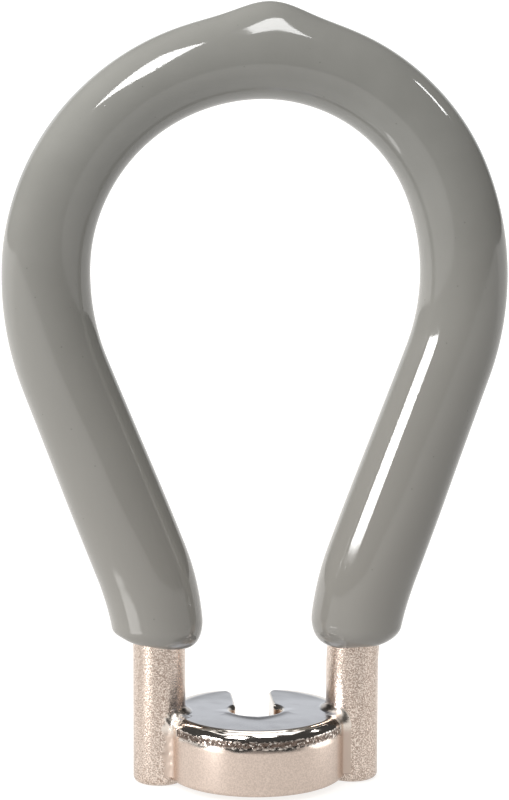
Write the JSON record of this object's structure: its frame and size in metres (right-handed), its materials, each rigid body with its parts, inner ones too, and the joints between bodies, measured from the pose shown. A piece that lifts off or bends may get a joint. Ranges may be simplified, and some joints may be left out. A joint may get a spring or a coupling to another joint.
{
  "type": "spoke wrench",
  "caption": "Teardrop-loop spoke wrench: vinyl-coated bent wire handle with its ends brazed to a C-shaped jaw that has a square nipple socket.",
  "frame": {"origin": "on the nipple socket's axis, in the plane of the jaw's underside", "axes": "+Z from the jaw to the top of the loop, along the socket's axis; +Y out of the jaw's mouth, square to the loop's plane; +X to the right as seen from the side away from the mouth"},
  "size_m": [0.0454, 0.0155, 0.0711],
  "materials": {
    "plated_wire": "nickel plate over a fine blasted grain",
    "plated_jaw": "nickel plate, ground smooth on the upper face, satin on the rim",
    "plated_braze": "bright nickel plate over rounded braze",
    "grip_vinyl": "glossy dipped soft vinyl, mid grey"
  },
  "bodies": {
    "root": {"wire_loop": "plated_wire", "jaw": "plated_jaw", "braze_left": "plated_braze", "braze_right": "plated_braze", "grip": "grip_vinyl"}
  },
  "joints": []
}
